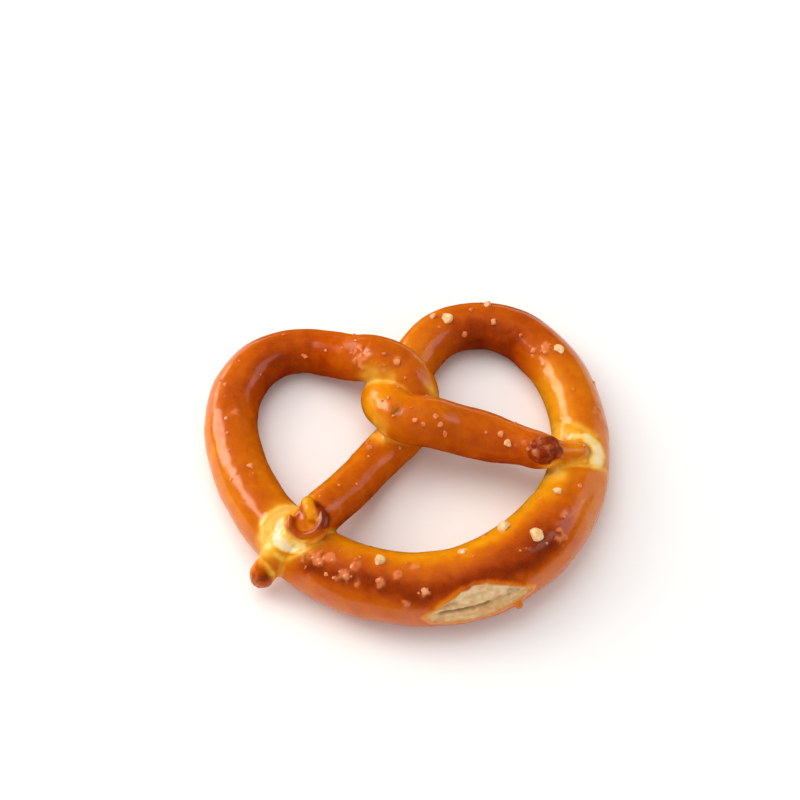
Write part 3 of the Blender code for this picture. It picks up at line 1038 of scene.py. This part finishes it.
marks = {
    "browning": browning(),
    # Peach on flakes and blisters: partly their thin dry skin, partly painted sheen
    "dry_skin": np.clip(0.75 * flakes + 0.12 * blister, 0, 1),
    "paleness": paleness(),
    "crumb": bare_crumb,
    "flap": flap,
    "shade": shade(),
    "burned": burned,
    "gloss": gloss(),
    "underside": ramp(spots[:, 2], 0.5, 0.05),
}
for name, values in marks.items():
    store(crust.data, name, values)
print("mean browning:", round(float(marks["browning"].mean()), 2))
print("share that is pale:", round(float((marks["paleness"] > 0.3).mean()), 3))

# %% [markdown]
# ## Lye crust
#
# The crust is gelled starch browned in lye: a thin, clear, satin skin over orange-brown dough, much
# like lacquer over wood. A Principled shader with the index of baked starch, middling roughness
# and a smoother coat gives both the soft glow and the sharp streaks. A colour ramp holds the
# baker's scale from golden to chestnut, and noise sized in millimetres breaks it up. Where the
# vertices say crumb, the colour turns beige and the gloss goes.

# %% Lye crust colours and shares
CRUST_SCALE = (
    (0.00, "#F4AE24"),
    (0.18, "#E99A10"),
    (0.34, "#E18304"),
    (0.48, "#D36C03"),
    (0.60, "#C55A03"),
    (0.72, "#B14703"),
    (0.84, "#963402"),
    (1.00, "#641A02"),
)
PALE_SCALE = ((0.0, "#EFA010"), (0.4, "#F7BC3C"), (0.75, "#F6D07C"), (1.0, "#F8DFB4"))
CRUMB_SCALE = ((0.28, "#D09A5E"), (0.50, "#DCB07A"), (0.72, "#EBCA9C"))
KNOB_SCALE = ((0.35, "#7A220A"), (0.50, "#96350F"), (0.68, "#C2683A"))
# Peach of flakes and blisters, partly painted sheen
DRY_SKIN_AND_SHEEN = "#E5824A"
CRACK_SHADOW = "#5A2C0A"
TRAY_SIDE = "#A8591C"
MOTTLE_MM = 3.4
SPECKLE_MM = 0.9
MOTTLE_SHARE = 0.20  # how much of the browning's scale the mottling spans
SPECKLE_SHARE = 0.10
PATTERN_MIDDLE = 0.15  # what both patterns add on average, taken off again
PALE_GAIN = 1.9  # golden folds cover the crust too
FLAP_LIGHTER = 0.16
CRACK_DARKNESS = 0.7
TRAY_DULLNESS = 0.85
SATIN = 0.32  # least roughness of the dough under the clear skin
SATIN_CHANGE = 0.16
CRUMB_ROUGHER = 0.45
SPECKLE_PORES = 0.4
CRUMB_PORES = 1.2
print("tones from golden to chestnut:", len(CRUST_SCALE))


# %% Lye crust material
def per_mm(size):
    """The texture scale of a pattern whose features measure size mm."""
    return 1 / (size * MM)


def finish_lye_crust():
    """Gelled, browned, glossy crust, with matte crumb and pale folds where the vertices say so."""
    lye_crust.use_nodes = True
    tree = lye_crust.node_tree
    node = partial(add_node, tree)
    read = {name: node("ShaderNodeAttribute", attribute_name=name).outputs["Fac"] for name in marks}
    place = node("ShaderNodeTexCoord").outputs["Object"]
    mottle = node(
        "ShaderNodeTexNoise",
        {"Vector": place, "Scale": per_mm(MOTTLE_MM), "Detail": 3.0, "Distortion": 0.4},
    )
    speckle = node("ShaderNodeTexNoise", {"Vector": place, "Scale": per_mm(SPECKLE_MM), "Detail": 2.0})

    # Browning with its mottling, from golden to chestnut
    mottled = node(
        "ShaderNodeMath", {0: mottle, 1: MOTTLE_SHARE, 2: read["browning"]}, operation="MULTIPLY_ADD"
    )
    brown = node("ShaderNodeMath", {0: speckle, 1: SPECKLE_SHARE, 2: mottled}, operation="MULTIPLY_ADD")
    centred = node("ShaderNodeMath", {0: brown, 1: PATTERN_MIDDLE}, operation="SUBTRACT", use_clamp=True)
    colour = node("ShaderNodeValToRGB", {"Fac": centred}, CRUST_SCALE)

    # What lies over it: peach flakes and blisters, partly painted sheen; pale folds; the burned knob;
    # the crumb with its lighter flap; painted shade in cracks, pits, wrinkles and creases; and the dull
    # face that lay on the tray
    pale = node(
        "ShaderNodeMath", {0: read["paleness"], 1: PALE_GAIN}, operation="MULTIPLY", use_clamp=True
    )
    grain = node(
        "ShaderNodeMath", {0: read["flap"], 1: FLAP_LIGHTER, 2: mottle}, operation="MULTIPLY_ADD"
    )
    dark = node("ShaderNodeMath", {0: read["shade"], 1: CRACK_DARKNESS}, operation="MULTIPLY")
    dull = node("ShaderNodeMath", {0: read["underside"], 1: TRAY_DULLNESS}, operation="MULTIPLY")
    layers = (
        (read["dry_skin"], linear(DRY_SKIN_AND_SHEEN)),
        (pale, node("ShaderNodeValToRGB", {"Fac": read["paleness"]}, PALE_SCALE)),
        (read["burned"], node("ShaderNodeValToRGB", {"Fac": mottle}, KNOB_SCALE)),
        (read["crumb"], node("ShaderNodeValToRGB", {"Fac": grain}, CRUMB_SCALE)),
        (dark, linear(CRACK_SHADOW)),
        (dull, linear(TRAY_SIDE)),
    )
    for share, layer in layers:
        mixed = node("ShaderNodeMix", {0: share, 6: colour, 7: layer}, data_type="RGBA")
        colour = mixed.outputs[2]

    # Dull dough under a clear gelled skin, which crumb and underside lack
    matte = node("ShaderNodeMath", {0: read["crumb"], 1: dull}, operation="MAXIMUM")
    satin = node("ShaderNodeMath", {0: mottle, 1: SATIN_CHANGE, 2: SATIN}, operation="MULTIPLY_ADD")
    rough = node("ShaderNodeMath", {0: matte, 1: CRUMB_ROUGHER, 2: satin}, operation="MULTIPLY_ADD")
    skin = node(
        "ShaderNodeMapRange",
        {"Value": mottle, "From Min": 0.3, "From Max": 0.6, "To Min": 0.55, "To Max": 1.0},
    )
    covered = node("ShaderNodeMath", {0: read["gloss"], 1: matte}, operation="SUBTRACT", use_clamp=True)
    coat = node("ShaderNodeMath", {0: skin, 1: covered}, operation="MULTIPLY")

    # Fine relief: pores in the skin, stronger in the crumb
    pores = node("ShaderNodeMath", {0: speckle, 1: SPECKLE_PORES, 2: mottle}, operation="MULTIPLY_ADD")
    in_crumb = node("ShaderNodeMath", {0: speckle, 1: read["crumb"]}, operation="MULTIPLY")
    relief = node("ShaderNodeMath", {0: in_crumb, 1: CRUMB_PORES, 2: pores}, operation="MULTIPLY_ADD")
    bump = node("ShaderNodeBump", {"Height": relief, "Strength": 0.4, "Distance": 0.18 * MM})

    shader_inputs = {
        "Base Color": colour,
        "Roughness": rough,
        "Coat Weight": coat,
        "Coat Roughness": 0.17,
        "Specular IOR Level": 0.0,
        "IOR": 1.5,
        "Subsurface Weight": 0.10,
        "Subsurface Radius": (1.0, 0.35, 0.1),
        "Subsurface Scale": 1.0 * MM,
        "Normal": bump,
    }
    set_inputs(tree, tree.nodes["Principled BSDF"], shader_inputs)


finish_lye_crust()
print("lye crust nodes:", len(lye_crust.node_tree.nodes))

# %% [markdown]
# ## Where the salt lies
#
# Pretzel salt is pressed rock salt in blunt chips from 1 to 5 mm, thrown by hand before baking. The
# largest chips lie where the reference shows them, the middling ones are thrown along the rope by a
# seeded rule, and fine crumbs of salt gather round the blistered spots. Salt that took up some lye
# baked in with a peach-coloured glaze, the small grains more than the large ones.

# %% Where the salt lies
GRAIN_SEED = 7
GRAIN_COUNT = 30
GRAIN_FROM = 8  # stations between which grains are thrown, clear of both ends
GRAIN_TO = 53
GRAIN_SMALL = 1.0
GRAIN_LARGE = 1.9
GRAIN_SPREAD = 0.62
GRAIN_GAP = 1.5
GRAIN_RAISED = 0.06  # a grain's middle above the crust, as a share of its size
DROP_FROM = 1.0  # m above the tray, from where each grain falls onto the crust
# The largest grains, where they lie in plan: x, y, size
LARGE_GRAINS = (
    (42.0, -41.9, 5.4),
    (-14.5, -46.9, 4.6),
    (31.4, -36.8, 5.2),
    (19.3, 55.9, 4.3),
    (59.6, 37.5, 4.2),
    (51.4, -24.7, 3.6),
    (15.5, -46.0, 3.2),
    (35.8, -4.6, 3.0),
    (33.9, -0.8, 2.6),
    (14.4, 57.6, 2.9),
    (35.3, 61.5, 2.8),
    (37.1, 52.9, 2.8),
    (1.0, -59.8, 2.8),
    (-57.9, -3.3, 2.6),
    (-14.2, 2.7, 2.6),
    (-1.7, 30.7, 2.6),
    (10.2, 5.6, 2.3),
    (11.6, 2.9, 2.2),
    (13.4, 0.4, 2.4),
    (3.0, 4.7, 2.2),
    (5.9, 3.4, 2.0),
    (25.4, 50.2, 2.4),
    (-35.7, 45.4, 2.4),
    (-26.0, -51.4, 2.4),
)
CRUMB_GRAINS = 55
CRUMB_GRAIN_SMALL = 0.7
CRUMB_GRAIN_LARGE = 1.9
print("grains placed by hand:", len(LARGE_GRAINS))


# %% Find each grain's place on the crust
def salt_places():
    """Where each grain lies in plan, and its size."""
    draw = random.Random(GRAIN_SEED)
    stations = rope_stations()
    places = list(LARGE_GRAINS)

    def is_free(x, y, size):
        return all(
            math.hypot(x - other_x, y - other_y) > (size + other_size) / 2 + GRAIN_GAP
            for other_x, other_y, other_size in places
        )

    for number in range(GRAIN_COUNT):
        share = (number + draw.uniform(0.2, 0.8)) / GRAIN_COUNT
        along_rope = GRAIN_FROM + (GRAIN_TO - GRAIN_FROM) * share
        first = int(along_rope)
        start = Vector(stations[first])
        end = Vector(stations[first + 1])
        here = start.lerp(end, along_rope - first)
        across = Vector((start.y - end.y, end.x - start.x)).normalized()
        aside = across * here.w * draw.uniform(-GRAIN_SPREAD, GRAIN_SPREAD)
        size = draw.uniform(GRAIN_SMALL, GRAIN_LARGE)
        place = (here.x + aside.x, here.y + aside.y, size)
        if is_free(*place):
            places.append(place)
    return places


def drop_on_crust(places):
    """The places on the crust's upper side: points, normals and sizes, in mm."""
    tree = BVHTree.FromObject(crust, bpy.context.evaluated_depsgraph_get())
    found = []
    for x, y, size in places:
        place, normal, _, _ = tree.ray_cast(Vector((x * MM, y * MM, DROP_FROM)), Vector((0, 0, -1)))
        if place is not None:
            found.append((place / MM + normal * size * GRAIN_RAISED, normal, size))
    return found


def crumb_grains():
    """Fine crumbs of salt on the crust's upper side, thickest round the blistered spots."""
    draw = random.Random(GRAIN_SEED + 1)
    facing = read_vertices(crust.data, "normal")
    covered = np.maximum.reduce([tear_glow, fold_and_highlight_pale, bare_crumb, burned, lip_ring, on_curl])
    bare_skin = 1 - ramp(covered, 0.1, 0.3)
    wanted = ramp(facing[:, 2], 0.4, 0.8) * (0.005 + blister) * bare_skin
    chosen = draw.choices(range(len(spots)), weights=wanted.tolist(), k=CRUMB_GRAINS)
    sizes = [draw.uniform(CRUMB_GRAIN_SMALL, CRUMB_GRAIN_LARGE) for _ in chosen]
    return [(Vector(spots[i]), Vector(facing[i]), size) for i, size in zip(chosen, sizes)]


salt_grains = drop_on_crust(salt_places())
fine_grains = crumb_grains()
print("salt grains:", len(salt_grains), "and fine ones:", len(fine_grains))

# %% [markdown]
# ## Chips of salt
#
# Pressed salt breaks into blunt, many-sided chips. A ball pressed flat by random planes is such a
# body: each plane leaves a broken face, and the ball's skin between them stays as the dull edges
# that tumbling in the sack gives. A handful of kinds is enough, since each chip is turned its own
# way. The fine crumbs are the same with few faces, because nobody sees more of them.

# %% Break the chips
CHIP_KINDS = 6
CHIP_RADIUS = 0.6  # of the ball, before it is pressed flat to about 1 across
CHIP_STRETCH = ((0.9, 1.1), (0.75, 0.95), (0.6, 0.75))  # least and most along x, y and z
CHIP_CUTS = 8
CHIP_REACH = (0.24, 0.40)  # least and most distance of a cut from the middle
CHIP_FINE = 3  # subdivisions of the ball
CRUMB_COARSE = 1


def chip(name, number, subdivisions):
    """A blunt chip of pressed salt, about 1 across: a ball pressed flat by random planes."""
    draw = random.Random(number)
    shape = bmesh.new()
    bmesh.ops.create_icosphere(shape, subdivisions=subdivisions, radius=CHIP_RADIUS)
    stretch = Vector([draw.uniform(*limits) for limits in CHIP_STRETCH])
    bmesh.ops.scale(shape, vec=stretch, verts=shape.verts)
    for _ in range(CHIP_CUTS):
        facing = Vector((draw.gauss(0, 1), draw.gauss(0, 1), draw.gauss(0, 0.8))).normalized()
        reach = draw.uniform(*CHIP_REACH)
        for vertex in shape.verts:
            vertex.co -= facing * max(0.0, vertex.co.dot(facing) - reach)
    return mesh_from(shape, f"{name}_{number}")


def chip_kinds(name, subdivisions):
    """A collection of chips, outside the scene."""
    kinds = bpy.data.collections.new(name)
    for number in range(CHIP_KINDS):
        mesh = chip(name, number, subdivisions)
        kinds.objects.link(bpy.data.objects.new(mesh.name, mesh))
    print(name, "kinds:", CHIP_KINDS, "triangles each:", triangle_count(kinds.objects[0].data))
    return kinds


chips = chip_kinds("chip", CHIP_FINE)
crumbs = chip_kinds("crumb", CRUMB_COARSE)

# %% [markdown]
# ## Throwing the salt
#
# Salt repeats and follows a surface, which is what Geometry Nodes are for: one tree sets a random
# chip on each point, stands it on the crust's normal, turns it at random and scales it by the
# point's size. The points also carry how glazed each grain is, and the material reads it.

# %% Throw the salt with Geometry Nodes
SALT_SEED = 5
SALT_TILT = 0.35  # radians that a chip may lean
MILKY_FROM = 3.5  # grains of this size and up stay milky
GLAZED_FROM = 2.3  # grains of this size and down are glazed


def thrown_salt_tree():
    """Sets a random chip on each point, standing on the point's normal, sized by the point."""
    tree, given = geometry_tree(
        "thrown_salt", Chips="Collection", Kinds="Int", Tilt="Float", Seed="Int"
    )
    node = partial(add_node, tree)
    kinds = node(
        "GeometryNodeCollectionInfo",
        {"Collection": given["Chips"], "Separate Children": True, "Reset Children": True},
    )
    size = node("GeometryNodeInputNamedAttribute", {"Name": "size"})

    # Standing on the crust, then turned any way about the normal and tilted a little
    facing = node("GeometryNodeInputNamedAttribute", {"Name": "facing"}, data_type="FLOAT_VECTOR")
    upright = node("FunctionNodeAlignRotationToVector", {"Vector": facing}, axis="Z")
    tilt = node("ShaderNodeCombineXYZ", {0: given["Tilt"], 1: given["Tilt"], 2: math.pi})
    other_way = node("ShaderNodeVectorMath", {0: tilt, "Scale": -1.0}, operation="SCALE")
    spin = node(
        "FunctionNodeRandomValue",
        {0: other_way, 1: tilt, "Seed": given["Seed"]},
        data_type="FLOAT_VECTOR",
    )
    spun = node("FunctionNodeEulerToRotation", {0: spin})
    turned = node(
        "FunctionNodeRotateRotation",
        {"Rotation": upright, "Rotate By": spun},
        rotation_space="LOCAL",
    )

    # One of the kinds at random
    last = node("ShaderNodeMath", {0: given["Kinds"], 1: 1.0}, operation="SUBTRACT")
    kind = node("FunctionNodeRandomValue", {4: 0, 5: last, "Seed": given["Seed"]}, data_type="INT")
    thrown = node(
        "GeometryNodeInstanceOnPoints",
        {
            "Points": given["Geometry"],
            "Instance": kinds,
            "Pick Instance": True,
            "Instance Index": kind.outputs[2],
            "Rotation": turned,
            "Scale": size,
        },
    )
    return end_tree(tree, given, thrown)


def throw(name, grains, kinds, material):
    """One mesh of chips of these kinds, one on each of the grains."""
    mesh = bpy.data.meshes.new(name)
    mesh.from_pydata([tuple(place * MM) for place, _, _ in grains], [], [])
    sizes = np.array([size for _, _, size in grains])
    store(mesh, "size", sizes * MM)
    store(mesh, "glaze", ramp(sizes, MILKY_FROM, GLAZED_FROM))
    facing = mesh.attributes.new("facing", "FLOAT_VECTOR", "POINT")
    facing.data.foreach_set("vector", [value for _, normal, _ in grains for value in normal])
    inputs = {"Chips": kinds, "Kinds": CHIP_KINDS, "Tilt": SALT_TILT, "Seed": SALT_SEED}
    inputs["Material"] = material
    made = run_tree(new_object(name, mesh), thrown_salt_tree(), inputs)
    for attribute in ("size", "facing"):
        made.data.attributes.remove(made.data.attributes[attribute])
    print(name, "grains:", len(grains), "triangles:", triangle_count(made.data))
    return made


# %% [markdown]
# ## Pressed salt
#
# Pressed salt is milky because light goes a little way into it and comes out elsewhere, so the
# shader has some subsurface. Broken faces are dull. Glazed grains took the crust's colour and its
# gloss, so the same material leans from cream to peach by the grain's glaze.

# %% Pressed salt material
MILKY_SCALE = ((0.35, "#F0B568"), (0.62, "#FBD9A8"))
GLAZED_SCALE = ((0.35, "#D9692C"), (0.68, "#F3A06C"))
CLOUD_MM = 1.3
BROKEN_MM = 0.5  # the roughness of broken faces


def finish_pressed_salt():
    """Milky cream rock salt, glazed peach on the small grains."""
    material = bpy.data.materials.new("pressed_salt")
    material.use_nodes = True
    tree = material.node_tree
    node = partial(add_node, tree)
    glaze = node("ShaderNodeAttribute", attribute_name="glaze").outputs["Fac"]
    place = node("ShaderNodeTexCoord").outputs["Object"]
    cloud = node("ShaderNodeTexNoise", {"Vector": place, "Scale": per_mm(CLOUD_MM), "Detail": 3.0})
    milky = node("ShaderNodeValToRGB", {"Fac": cloud}, MILKY_SCALE)
    glazed = node("ShaderNodeValToRGB", {"Fac": cloud}, GLAZED_SCALE)
    colour = node("ShaderNodeMix", {0: glaze, 6: milky, 7: glazed}, data_type="RGBA")
    broken = node("ShaderNodeTexNoise", {"Vector": place, "Scale": per_mm(BROKEN_MM), "Detail": 2.0})
    shader_inputs = {
        "Base Color": colour.outputs[2],
        "Roughness": node("ShaderNodeMapRange", {"Value": glaze, "To Min": 0.45, "To Max": 0.28}),
        "IOR": 1.54,
        "Subsurface Weight": 0.35,
        "Subsurface Radius": (1.0, 0.7, 0.45),
        "Subsurface Scale": 0.8 * MM,
        "Normal": node("ShaderNodeBump", {"Height": broken, "Strength": 0.5, "Distance": 0.12 * MM}),
    }
    set_inputs(tree, tree.nodes["Principled BSDF"], shader_inputs)
    return material


pressed_salt = finish_pressed_salt()
salt = throw("salt", salt_grains, chips, pressed_salt)
fine_salt = throw("fine_salt", fine_grains, crumbs, pressed_salt)

# %% [markdown]
# ## Floor, light and camera
#
# A white floor and soft boxes, as for a catalogue picture. The crust's deep colour only survives if
# its top mirrors darkness, so the even light, from a large box overhead, a low one in front and
# the world, is hidden from mirrored rays, as a polariser would do. What the crust mirrors stands
# low: a window at the back left, a strip below it, a dim strip and a dim box at the right, and the
# floor in front and at the sides. The floor behind the pretzel and in its holes isn't mirrored, or
# the flanks that the camera sees at a glancing angle would turn milky.

# %% Floor
FLOOR_REACH = 6.0
TONGUE_WIDE = 0.062  # half the width of the part that isn't mirrored
TONGUE_DEEP = 0.050
TONGUE_MIDDLE = -0.003
TONGUE_POINTS = 24


def floor_part(name, outline, material, mirrored):
    """A flat part of the floor inside the outline."""
    mesh = bpy.data.meshes.new(name)
    mesh.from_pydata([(x, y, 0.0) for x, y in outline], [], [tuple(range(len(outline)))])
    mesh.materials.append(material)
    part = new_object(name, mesh)
    part.visible_glossy = mirrored
    return part


def white_floor():
    """Two parts that fit together: a tongue under the pretzel and behind it, and the rest."""
    material = bpy.data.materials.new("white_floor")
    material.use_nodes = True
    shader = material.node_tree.nodes["Principled BSDF"]
    shader.inputs["Base Color"].default_value = linear("#FEFDFC")
    shader.inputs["Roughness"].default_value = 0.8
    shader.inputs["Specular IOR Level"].default_value = 0.2
    turns = np.linspace(math.pi, 2 * math.pi, TONGUE_POINTS)
    bow = [(TONGUE_WIDE * math.cos(t), TONGUE_MIDDLE + TONGUE_DEEP * math.sin(t)) for t in turns]
    tongue = [(-TONGUE_WIDE, FLOOR_REACH), *bow, (TONGUE_WIDE, FLOOR_REACH)]
    corners = [(FLOOR_REACH, FLOOR_REACH), (FLOOR_REACH, -FLOOR_REACH)]
    corners += [(-FLOOR_REACH, -FLOOR_REACH), (-FLOOR_REACH, FLOOR_REACH)]
    rest = [*tongue, *corners]
    return (
        floor_part("floor_tongue", tongue, material, mirrored=False),
        floor_part("floor_rest", rest[::-1], material, mirrored=True),
    )


for part in white_floor():
    print(part.name, "is mirrored:", part.visible_glossy)

# %% Lights
# Name, azimuth from the back (left is below zero), elevation, distance in m, width and height in m,
# radiance, colour, whether it lights the crust, whether the crust mirrors it
SOFT_BOXES = (
    ("window", -62.0, 31.0, 0.9, (0.42, 0.56), 8.0, "#FFF2E0", False, True),
    ("window_light", -64.0, 33.0, 0.9, (0.44, 0.40), 4.6, "#FFF2E0", True, False),
    ("low_strip", -42.0, 1.0, 0.9, (0.34, 0.34), 4.8, "#FFF2E0", True, True),
    ("right_strip", 72.0, 16.0, 0.9, (0.32, 0.76), 1.1, "#F6F0FF", False, True),
    ("right_box", 91.0, 38.0, 0.9, (0.34, 0.62), 1.9, "#F8EEF4", False, True),
    ("overhead", -40.0, 68.0, 1.5, (1.4, 1.4), 1.8, "#FFFFFF", True, False),
    ("front_fill", 180.0, 20.0, 1.3, (1.2, 0.5), 1.0, "#FFFFFF", True, False),
)
WORLD_STRENGTH = 0.60


def soft_box(name, azimuth, elevation, distance, size, radiance, colour, lights, mirrored):
    """A rectangular area light that faces the pretzel; a radiance of 1 looks white."""
    light = bpy.data.lights.new(name, "AREA")
    light.shape = "RECTANGLE"
    light.size, light.size_y = size
    light.energy = radiance * math.pi * size[0] * size[1]
    light.color = linear(colour)[:3]
    box = new_object(name, light)
    turn, rise = math.radians(azimuth), math.radians(elevation)
    direction = (math.sin(turn) * math.cos(rise), math.cos(turn) * math.cos(rise), math.sin(rise))
    box.location = Vector(direction) * distance
    box.rotation_euler = (-box.location).to_track_quat("-Z", "Y").to_euler()
    box.visible_camera = False
    box.visible_diffuse = lights
    box.visible_glossy = mirrored


for settings in SOFT_BOXES:
    soft_box(*settings)
world = bpy.data.worlds.new("studio")
world.use_nodes = True
world.node_tree.nodes["Background"].inputs["Color"].default_value = linear("#FFFFFF")
world.node_tree.nodes["Background"].inputs["Strength"].default_value = WORLD_STRENGTH
world.cycles_visibility.glossy = False
bpy.context.scene.world = world
bpy.context.scene.view_settings.view_transform = "Standard"
print("lights:", len(SOFT_BOXES))

# %% Camera
CAMERA_PLACE = (-28.92, -328.90, 625.62)
CAMERA_AIM = (-0.58, 31.18, 0.0)
CAMERA_LENS = 85.05
CAMERA_SENSOR = 36.0

camera = new_object("camera", bpy.data.cameras.new("camera"))
camera.data.lens = CAMERA_LENS
camera.data.sensor_width = CAMERA_SENSOR
camera.location = Vector(CAMERA_PLACE) * MM
looking = Vector(CAMERA_AIM) - Vector(CAMERA_PLACE)
camera.rotation_euler = looking.to_track_quat("-Z", "Y").to_euler()
bpy.context.scene.camera = camera
print("the camera looks down at", round(math.degrees(math.asin(-looking.normalized().z))), "degrees")

# %% [markdown]
# ## Handing over
#
# The crust and the salt stand for the solid, which stays in the simulation. Both ride on the one
# body, so that they move with it.

# %% Finish
crust.data.shade_smooth()
for piece, slot in ((crust, "crust"), (salt, "salt"), (fine_salt, "salt")):
    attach(piece, "root")
    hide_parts("pretzel")
